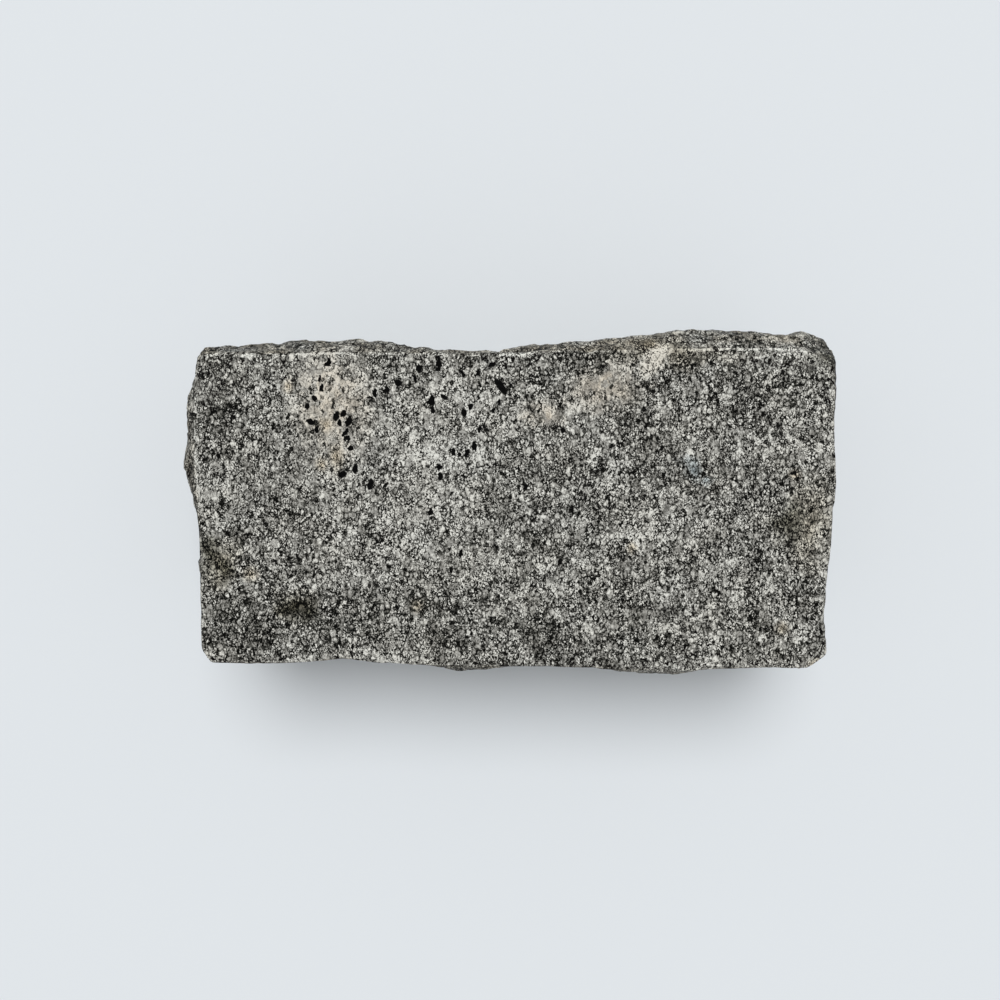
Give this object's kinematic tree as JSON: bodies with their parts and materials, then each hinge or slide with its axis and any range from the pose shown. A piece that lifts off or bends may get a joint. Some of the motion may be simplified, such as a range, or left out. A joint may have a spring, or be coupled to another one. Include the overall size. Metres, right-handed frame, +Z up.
{
  "type": "granite belgian block",
  "caption": "Split granite paving block with a flat rectangular head and bed and four rough, swelling sides.",
  "frame": {"origin": "middle of the block's outer box, on the level of the bed that it lies on", "axes": "+X along the block's length, +Y across its width, +Z up out of the flat head"},
  "size_m": [0.2698, 0.1428, 0.102],
  "materials": {
    "granite": "split, coarse grained, matte"
  },
  "bodies": {
    "root": {"granite_block": "granite"}
  },
  "joints": []
}
